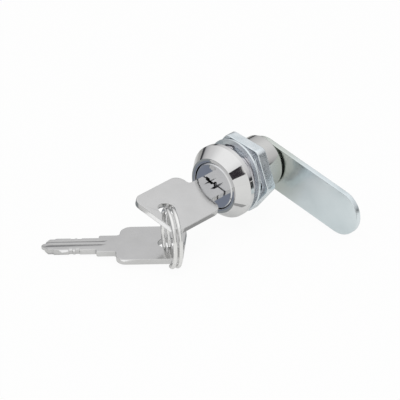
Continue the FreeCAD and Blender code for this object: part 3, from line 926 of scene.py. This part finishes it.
# %% Sizes of the plug
NEARLY_ZERO = 0.001
PLUG_FACE = FACE + NEARLY_ZERO
FLANGE_RADIUS = 7.38
FLANGE_BEVEL = 0.35
FLANGE_END = FACE + 2.2
FLANGE_EDGES = (0.06, 0.06, 0.05)
PLUG_RADIUS = 6.0
KEYWAY_HALF = 3.45
KEYWAY_TOP = 1.125
KEYWAY_END = 11.7
KEYWAY_RIDGE = [(1.05, KEYWAY_TOP), (1.2, 0.62), (1.5, 0.62), (1.65, KEYWAY_TOP)]
MOUTH = [(-3.45, 0.5), (-3.45, 1.1), (-3.3, 1.6), (-2.0, 1.6), (-1.8, 1.0), (-0.3, 1.15), (0.2, 1.9),
         (0.9, 2.0), (1.2, 1.2), (3.45, 1.05), (3.45, 0.5)]
MOUTH_DEPTH = 1.5
FIRST_WAFER = 3.7
WAFER_STEP = 2.0
WAFER_COUNT = 6
WAFER_SLOT = rectangle(7, 2.65)
WAFER_SLOT_HALF = 0.55
print("plug face", 2 * FLANGE_RADIUS, "mm across")


# %% Turn the plug and cut its slots
def keyway_outline():
    """Warded slot, the same either way up: a ridge in each long wall runs in a groove of the key."""
    upper = [(-KEYWAY_HALF, KEYWAY_TOP), *KEYWAY_RIDGE, (KEYWAY_HALF, KEYWAY_TOP)]
    return upper + [(-x, -z) for x, z in upper]


def make_plug():
    """Turned body less the key slot, its uneven mouth and the six wafer slots."""
    bevel, shoulder, foot = FLANGE_EDGES
    body = lathe("plug_body", [
        (PLUG_FACE, NEARLY_ZERO, 0), (PLUG_FACE, FLANGE_RADIUS - FLANGE_BEVEL, bevel),
        (FACE + FLANGE_BEVEL, FLANGE_RADIUS, shoulder), (FLANGE_END, FLANGE_RADIUS, foot),
        (FLANGE_END, PLUG_RADIUS, 0), (BARREL_END, PLUG_RADIUS, 0), (BARREL_END, NEARLY_ZERO, 0)])
    cutters = [prism(keyway_outline(), FACE - CUT_CLEAR, KEYWAY_END),
               prism(MOUTH, FACE - CUT_CLEAR, FACE + MOUTH_DEPTH)]
    for place in (FACE + FIRST_WAFER + WAFER_STEP * index for index in range(WAFER_COUNT)):
        cutters.append(prism(WAFER_SLOT, place - WAFER_SLOT_HALF, place + WAFER_SLOT_HALF))
    return cut(body, cutters)


place_piece("plug_body", make_plug(), "plug", "plug_chrome", ["lock_plug"], ROLLED)

# %% [markdown]
# ## Cam and what holds it
# The cam is stamped from 1.8 mm plate. It sits on the plug's square end, held by a plain washer, a split
# spring washer and a low domed screw. The stop washer in front of it is a small hub with two tabs, so a
# deep gap stays open between the barrel and the cam.

# %% Cam plate
CAM_FRONT = 17.40
CAM_THICKNESS = 1.8
CAM_BACK = CAM_FRONT + CAM_THICKNESS
CAM_RADIUS = 7.3
CAM_REACH = 38.5
CAM_EDGE = 0.22
HALF_SQUARE = 4.05
SQUARE = rectangle(HALF_SQUARE, HALF_SQUARE)


def upright(middle):
    """Turns a plate from the XY plane so that it stands across the lock's axis at y = middle."""
    return ROLLED @ Matrix.Translation((0, middle * MM, 0)) @ Matrix.Rotation(math.pi / 2, 4, "X")


cam_outline = (arc(CAM_RADIUS, 90, 270, steps=48)
               + arc(CAM_RADIUS, -90, 90, steps=48, centre=(CAM_REACH - CAM_RADIUS, 0)))
place_piece("cam_plate", plate("cam_plate", cam_outline, [SQUARE], CAM_THICKNESS, CAM_EDGE), "plug",
            "zinc_plate", ["cam_arm"], upright(CAM_FRONT + CAM_THICKNESS / 2))

# %% Stop washer with two tabs
STOP_FRONT = 16.75
STOP_THICKNESS = 0.65
STOP_EDGE = 0.12
HUB_RADIUS = 6.5
TAB_RADIUS = 8.0
TAB_SPAN = 30
stop_outline = []
for tab_start, next_tab, hub_steps in ((246.5, 453.5, 48), (453.5, 606.5, 36)):
    stop_outline += arc(TAB_RADIUS, tab_start, tab_start + TAB_SPAN)
    stop_outline += arc(HUB_RADIUS, tab_start + TAB_SPAN, next_tab, hub_steps)
place_piece("stop_plate", plate("stop_plate", stop_outline, [SQUARE], STOP_THICKNESS, STOP_EDGE), "plug",
            "zinc_plate", ["stop_washer"], upright(STOP_FRONT + STOP_THICKNESS / 2))

# %% Flat washer under the screw
SMALL_STEPS = 96
SCREW_HOLE = 2.65
FLAT_WASHER = 6.2
FLAT_THICKNESS = 0.9
FLAT_EDGE = 0.2
HOLE_EDGE = 0.1
FLAT_END = CAM_BACK + FLAT_THICKNESS
place_piece("cam_flat_washer", lathe("cam_flat_washer", [
    (CAM_BACK, SCREW_HOLE, HOLE_EDGE), (CAM_BACK, FLAT_WASHER, FLAT_EDGE), (FLAT_END, FLAT_WASHER, FLAT_EDGE),
    (FLAT_END, SCREW_HOLE, HOLE_EDGE)], SMALL_STEPS), "plug", "zinc_plate", ["cam_washer"], ROLLED)

# %% Spring washer
SPRING_OUTER = 4.4
SPRING_THICKNESS = 1.1
SPRING_EDGE = 0.12
SPRING_GAP = math.radians(10)
SPRING_STEPS = 72


def make_spring_washer():
    """A cut ring with square section whose ends stand a little apart."""
    corners = [(SCREW_HOLE, 0), (SPRING_OUTER, 0), (SPRING_OUTER, SPRING_THICKNESS),
               (SCREW_HOLE, SPRING_THICKNESS)]
    section = soften([(*corner, SPRING_EDGE) for corner in corners], steps=3)
    rows = []
    for step in range(SPRING_STEPS + 1):
        angle = math.pi / 2 + SPRING_GAP / 2 + (2 * math.pi - SPRING_GAP) * step / SPRING_STEPS
        rows.append([(point.x * math.cos(angle), FLAT_END + point.y, point.x * math.sin(angle))
                     for point in section])
    return cap("spring_washer", rows)


place_piece("cam_spring_washer", make_spring_washer(), "plug", "spring_steel", ["spring_washer"], ROLLED)

# %% Domed screw with a cross recess
SCREW_START = FLAT_END + SPRING_THICKNESS
SCREW_HEAD = 4.2
SCREW_HEIGHT = 2.2
SCREW_RIM = 0.8
SCREW_EDGE = 0.12
SHANK_RADIUS = 2.45
SHANK_LENGTH = 6.0
SHANK_BEVEL = (0.4, 0.35)
SCREW_AXIS = 0.01
DOME_STEPS = 12
CROSS_REACH = 2.3
CROSS_HALF = 0.5
CROSS_DEPTH = 1.3


def make_screw():
    """Shank, flat rim and dome in one turned body, with the cross cut into the dome."""
    rise = SCREW_HEIGHT - SCREW_RIM
    dome = (SCREW_HEAD ** 2 + rise ** 2) / (2 * rise)
    top = SCREW_START + SCREW_HEIGHT
    tip = SCREW_START - SHANK_LENGTH
    bevel_length, bevel_depth = SHANK_BEVEL
    profile = soften([(tip, SCREW_AXIS, 0), (tip, SHANK_RADIUS - bevel_depth, 0),
                      (tip + bevel_length, SHANK_RADIUS, 0), (SCREW_START, SHANK_RADIUS, 0),
                      (SCREW_START, SCREW_HEAD, SCREW_EDGE)])
    for share in (step / DOME_STEPS for step in range(DOME_STEPS + 1)):
        radius = SCREW_HEAD * (1 - share) + SCREW_AXIS * share
        profile.append(Vector((top - dome + math.sqrt(dome ** 2 - radius ** 2), radius)))
    arm = [(CROSS_REACH, -CROSS_HALF), (CROSS_REACH, CROSS_HALF), (CROSS_HALF, CROSS_HALF)]
    cross = [Matrix.Rotation(math.pi / 2 * side, 2) @ Vector(point) for side in range(4) for point in arm]
    return cut(skin("cam_domed_screw", turned_rows(profile, SMALL_STEPS)),
               [prism(cross, top - CROSS_DEPTH, top + CUT_CLEAR)])


place_piece("cam_domed_screw", make_screw(), "plug", "zinc_plate", ["cam_screw"], ROLLED)

# %% [markdown]
# ## Fixing nut
# The nut is punched from plate, so its six corners are rounded and its faces meet the flats in short edges.
# Each ring of points takes the rounded hexagon as its outline. A ring of fine teeth stands on the front
# face, where the nut bites into the washer.

# %% Rounded hexagon
NUT_ACROSS = 22.0
NUT_CORNER = -8.3
CORNER_RADIUS = 2.0
POINTS_PER_CORNER = 60


def hexagon_row(y, across):
    """A ring of points at y on a hexagon with rounded corners, evenly spread along each corner."""
    row = []
    reach = (across / 2 - CORNER_RADIUS) / math.cos(math.pi / 6)
    for side in range(6):
        corner = math.radians(NUT_CORNER + 60 * side)
        for step in range(POINTS_PER_CORNER):
            turn = corner + math.radians(60 * step / (POINTS_PER_CORNER - 1) - 30)
            row.append((reach * math.cos(corner) + CORNER_RADIUS * math.cos(turn), y,
                        reach * math.sin(corner) + CORNER_RADIUS * math.sin(turn)))
    return row


# %% Nut with a ring of fine teeth
NUT_FRONT = 5.4
NUT_THICKNESS = 3.6
NUT_REAR = NUT_FRONT + NUT_THICKNESS
NUT_EDGE = 0.28
RIM_STEPS = 4
NUT_SHARP = math.radians(25)
NUT_HOLE = THREAD_RADIUS + 0.06
HOLE_BEVEL = 0.45
TEETH = 40
TOOTH_DEPTH = 0.22
TOOTH_RINGS = ((10.12, 0), (10.2, TOOTH_DEPTH), (10.7, TOOTH_DEPTH), (10.78, 0))


def even_row(y, radius, lift=0):
    """A round ring of points whose angles go with those of the hexagon's points."""
    row = []
    for x, _, z in hexagon_row(0, NUT_ACROSS):
        angle = math.atan2(z, x)
        raised = lift * max(0.0, math.sin(TEETH * angle))
        row.append((radius * math.cos(angle), y + raised, radius * math.sin(angle)))
    return row


def rounded_rim(face, inward):
    """Hexagons from a face of the nut over its rounded edge to the flats."""
    return [hexagon_row(face + inward * NUT_EDGE * (1 - math.sin(turn)),
                        NUT_ACROSS - 2 * NUT_EDGE * (1 - math.cos(turn)))
            for turn in reversed(quarter(RIM_STEPS))]


def make_nut():
    """From the hole over the toothed front, round the edges and back over the rear face."""
    rows = [even_row(NUT_FRONT + HOLE_BEVEL, NUT_HOLE), even_row(NUT_FRONT, NUT_HOLE + HOLE_BEVEL)]
    rows += [even_row(NUT_FRONT, radius, lift) for radius, lift in TOOTH_RINGS]
    rows += rounded_rim(NUT_FRONT, 1) + rounded_rim(NUT_REAR, -1)[::-1]
    rows += [even_row(NUT_REAR, NUT_HOLE + HOLE_BEVEL), even_row(NUT_REAR - HOLE_BEVEL, NUT_HOLE)]
    return skin("hex_nut", rows)


place_piece("hex_nut", make_nut(), "fixing_nut", "nut_zinc", ["fixing_nut"], sharp=NUT_SHARP)

# %% [markdown]
# ## Loose washer
# The washer hangs on the thread and leans forward at its lower right. It is a plain turned ring, so it is
# made flat and then tilted about its middle, as the CAD model does.

# %% Washer, tilted
WASHER_MIDDLE = 3.7
WASHER_HALF = 0.4
WASHER_INNER = 9.9
WASHER_OUTER = 11.6
WASHER_HOLE_EDGE = 0.12
WASHER_EDGE = 0.18
WASHER_TILT = math.radians(6.3)
LOW_SIDE = math.radians(-31)
towards_low = Vector((math.cos(LOW_SIDE), 0, math.sin(LOW_SIDE)))
washer_lean = (Matrix.Translation((0, WASHER_MIDDLE * MM, 0))
               @ Matrix.Rotation(-WASHER_TILT, 4, towards_low.cross(Vector((0, 1, 0)))))
place_piece("loose_washer", lathe("loose_washer", [
    (-WASHER_HALF, WASHER_INNER, WASHER_HOLE_EDGE), (-WASHER_HALF, WASHER_OUTER, WASHER_EDGE),
    (WASHER_HALF, WASHER_OUTER, WASHER_EDGE), (WASHER_HALF, WASHER_INNER, WASHER_HOLE_EDGE)]),
    "fixing_washer", "nut_zinc", ["fixing_washer"], washer_lean)

# %% [markdown]
# ## Keys
# Both keys are stamped from one sheet: a squarish bow with round corners and a hole, a narrower shoulder,
# and a blade with shallow cuts on both edges and two long grooves in each face. A stamped plate gives the
# outline and its rounded edges, the grooves are cut out afterwards, and the tip is then drawn thinner.

# %% Sizes of a key
KEY_THICKNESS = 1.85
KEY_EDGE = 0.16
HOLE_INSET = 5.4
HOLE_RADIUS = 2.7
HOLE_STEPS = 72
BOW_HALF = 9.5
BOW_END = -HOLE_INSET
BOW_FRONT = 20.2 - HOLE_INSET
BOW_CORNER = 3.2
SHOULDER_HALF = 4.6
SHOULDER_END = BOW_FRONT + 6.2
SHOULDER_GAP = 0.1
SHOULDER_ROOT = 1.0
SHOULDER_CORNER = 0.5
BLADE_HALF = 3.25
BLADE_TIP = SHOULDER_END + 17.1
TIP_LENGTH = 2.3
TIP_HALF = 0.4
TIP_CORNER = 0.5
TIP_THINNING = 0.6
KEY_CUTS = (0, 0.35, 0.3, 0, 0, 0.4)
CUT_HALF = 0.45
CUT_CORNER = 0.25
print("key", round(BLADE_TIP - BOW_END, 1), "mm long, bow", 2 * BOW_HALF, "mm wide")


# %% Outline of a key
def cut_corners(place, depth, last):
    """Corners of one cut in the blade's edge, with sloping ends; the last one runs out into the tip."""
    floor = BLADE_HALF - depth
    down = [(BLADE_HALF, place - CUT_HALF - depth, CUT_CORNER), (floor, place - CUT_HALF, CUT_CORNER)]
    up = [(floor, place + CUT_HALF, CUT_CORNER), (BLADE_HALF, place + CUT_HALF + depth, CUT_CORNER)]
    return down if last else down + up


def key_outline():
    """One edge from the bow to the tip, and the same mirrored back."""
    corners = [(BOW_HALF, BOW_END, BOW_CORNER), (BOW_HALF, BOW_FRONT, BOW_CORNER),
               (SHOULDER_HALF, BOW_FRONT, SHOULDER_ROOT), (SHOULDER_HALF, SHOULDER_END, SHOULDER_CORNER),
               (BLADE_HALF, SHOULDER_END, 0)]
    for index, depth in enumerate(KEY_CUTS):
        if depth > 0:
            place = SHOULDER_END + SHOULDER_GAP + FIRST_WAFER + WAFER_STEP * index
            corners += cut_corners(place, depth, index == len(KEY_CUTS) - 1)
    corners += [(BLADE_HALF - KEY_CUTS[-1], BLADE_TIP - TIP_LENGTH, TIP_CORNER),
                (TIP_HALF, BLADE_TIP, CUT_CORNER)]
    return soften(corners + [(-x, y, radius) for x, y, radius in reversed(corners)], steps=4)


# %% Grooves of a key
GROOVE_START = SHOULDER_END - 2.07
GROOVE_RISE = 0.8
GROOVE_ABOVE = 0.3
GROOVES = ((1.35, 0.5, 0.5), (-0.95, 0.8, 0.3))


def key_groove(side, place, half, depth):
    """Cutter for a long groove with sloping walls that rises out of the shoulder's face."""
    top = KEY_THICKNESS / 2
    floor_half = half - depth / 2
    section = [(place - half, top + GROOVE_ABOVE), (place - half, top), (place - floor_half, top - depth),
               (place + floor_half, top - depth), (place + half, top), (place + half, top + GROOVE_ABOVE)]
    stations = [(GROOVE_START - GROOVE_RISE, depth), (GROOVE_START + GROOVE_RISE, 0),
                (BLADE_TIP + CUT_CLEAR, 0)]
    mesh = cap("groove", [[(x, y, z + lift) for x, z in section] for y, lift in stations])
    if side < 0:
        mesh.transform(Matrix.Rotation(math.pi, 4, "Y"))
    return mesh


def make_key(name):
    """Stamped plate less its grooves, thinner towards the tip."""
    body = plate(name, key_outline(), [circle(HOLE_RADIUS, HOLE_STEPS)], KEY_THICKNESS, KEY_EDGE)
    mesh = cut(body, [key_groove(side, *groove) for groove in GROOVES for side in (1, -1)])
    for vertex in mesh.vertices:
        vertex.co.z *= 1 - TIP_THINNING * max(0.0, 1 - (BLADE_TIP - vertex.co.y) / TIP_LENGTH)
    return mesh


# %% [markdown]
# The ring stands on the table and hangs in the inserted key's hole, and the loose key lies with its tip on
# the table and its hole on the ring. So the ring is placed first, and the loose key's dip follows from the
# height at which the ring holds it.

# %% Place of the ring
RING_HEADING = math.radians(55.9)
RING_RADIUS = 8.65
RING_WIRE = 1.25
RING_PITCH = 1.68
RING_SLACK = 0.1
inserted_hole = Vector((0, FACE - SHOULDER_GAP - SHOULDER_END, 0))
ring_near = Vector((math.sin(RING_HEADING), -math.cos(RING_HEADING), 0))
ring_across = Vector((math.cos(RING_HEADING), math.sin(RING_HEADING), 0))
ring_height = TABLE_LEVEL / MM + RING_RADIUS + RING_WIRE / 2
ring_aside = math.sqrt((RING_RADIUS + RING_SLACK) ** 2 - ring_height ** 2)
ring_centre = Vector((0, inserted_hole.y, ring_height)) + ring_near * ring_aside


def ring_point(angle, offset=0.0):
    """A point of the ring's wire. Angles start level on the near side and run upwards."""
    radial = ring_near * math.cos(angle) + Vector((0, 0, math.sin(angle)))
    return ring_centre + radial * RING_RADIUS + ring_across * offset


print("ring centre", [round(x, 2) for x in ring_centre])

# %% Places of the two keys
LOOSE_ON_RING = math.radians(223.5)
LOOSE_HEADING = math.radians(127.84)
LEAN = math.radians(-1.8)
TIP_ACROSS = 1.6
loose_hole = ring_point(LOOSE_ON_RING)
tip_height = TABLE_LEVEL / MM + (KEY_THICKNESS + TIP_ACROSS * math.sin(-LEAN)) / 2
dip = math.asin((loose_hole.z - tip_height) / BLADE_TIP)
print("the loose key dips by", round(math.degrees(dip), 1), "degrees")
inserted_place = ROLLED @ Matrix.Translation(inserted_hole * MM)
loose_place = (Matrix.Translation(loose_hole * MM) @ Matrix.Rotation(LOOSE_HEADING, 4, "Z")
               @ Matrix.Rotation(-dip, 4, "X") @ Matrix.Rotation(LEAN, 4, "Y"))
place_piece("key_in_lock", make_key("key_in_lock"), "inserted_key", "key_nickel", ["inserted_key"],
            inserted_place)
place_piece("key_on_ring", make_key("key_on_ring"), "loose_key", "key_nickel", ["loose_key"], loose_place)

# %% [markdown]
# ## Split ring
# One wire makes two flat turns that lie side by side, with a short ramp where it steps across. A tube of
# many rings follows that path, and its ends are rounded over as the cut wire's are.

# %% Path of the wire
RING_START = math.radians(285)
RAMP = math.radians(36)
WIRE_LENGTH = 4 * math.pi - RAMP
WIRE_STEPS = 320
WIRE_SIDES = 24


def wire_offset(travel):
    """Sideways place of the wire after that much travel round the ring."""
    ramp_start = 2 * math.pi - RAMP
    share = min(1.0, max(0.0, (travel - ramp_start) / RAMP))
    return RING_PITCH * (share * share * (3 - 2 * share) - 0.5)


wire_path = [ring_point(RING_START + travel, wire_offset(travel))
             for travel in (WIRE_LENGTH * step / WIRE_STEPS for step in range(WIRE_STEPS + 1))]
print("wire of", round(RING_RADIUS * WIRE_LENGTH, 1), "mm")

# %% Wire of the ring
END_SHARE = 0.82
END_ROUNDING = 0.12


def make_ring():
    """A tube along the path, whose first and last ring of points are drawn in."""
    rows = []
    for index, point in enumerate(wire_path):
        ahead = wire_path[min(index + 1, WIRE_STEPS)] - wire_path[max(index - 1, 0)]
        outward = (point - ring_centre - ring_across * (point - ring_centre).dot(ring_across)).normalized()
        side = ahead.cross(outward).normalized()
        outward = side.cross(ahead).normalized()
        rows.append([point + outward * a + side * b for a, b in circle(RING_WIRE / 2, WIRE_SIDES)])
    for end, inward in ((0, 1), (-1, -1)):
        middle = wire_path[end]
        along = (wire_path[end + inward] - middle).normalized()
        small = [middle + (point - middle) * END_SHARE for point in rows[end]]
        rows[end] = [point + along * END_ROUNDING for point in rows[end]]
        rows.insert(0 if end == 0 else len(rows), small)
    return cap("ring_wire", rows)


place_piece("ring_wire", make_ring(), "split_ring", "ring_nickel", ["split_ring"])

# %% [markdown]
# ## Inner pieces
# The wafers, their springs and the retainer keep their CAD meshes, because they show only when one looks
# into the key slot. They get the finish of their slot in the record.

# %% Finish of the CAD pieces that stay
slots = {entry["node"]: entry["material_slot"] for entry in frame["record"]["subparts"]}
for name, node in frame["nodes"].items():
    node.data.materials.clear()
    node.data.materials.append(FINISHES[slots[name]])
print("CAD pieces that stay", sorted(name for name, node in frame["nodes"].items() if not node.hide_render))
